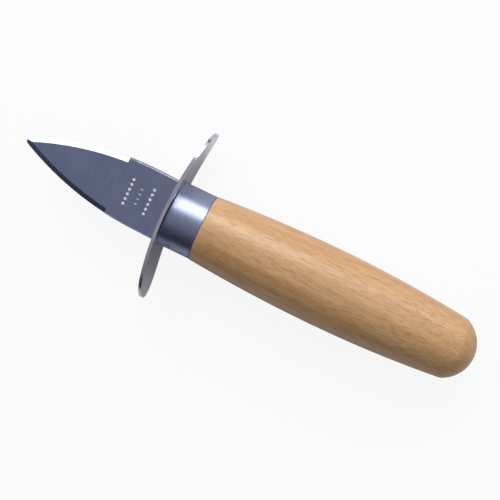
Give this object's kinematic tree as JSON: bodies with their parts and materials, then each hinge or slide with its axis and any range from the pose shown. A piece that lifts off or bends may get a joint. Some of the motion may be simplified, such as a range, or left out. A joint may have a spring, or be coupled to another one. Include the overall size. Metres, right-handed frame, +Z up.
{
  "type": "oyster knife",
  "caption": "Oyster knife with a short spear-point blade, a bowed oval guard plate, a steel ferrule and a turned wooden handle.",
  "frame": {"origin": "under the middle of the knife, on the surface that it lies on", "axes": "+X from the point to the butt, +Y across the flat of the blade, +Z up through the thickness of the blade"},
  "size_m": [0.1585, 0.058, 0.026],
  "materials": {
    "blade_steel": "fine ground stainless steel",
    "guard_steel": "satin stainless steel sheet",
    "ferrule_steel": "satin stainless steel",
    "beech": "clear varnished beech with fine flecks"
  },
  "bodies": {
    "root": {"blade": "blade_steel", "guard": "guard_steel", "ferrule": "ferrule_steel", "handle": "beech"}
  },
  "joints": []
}
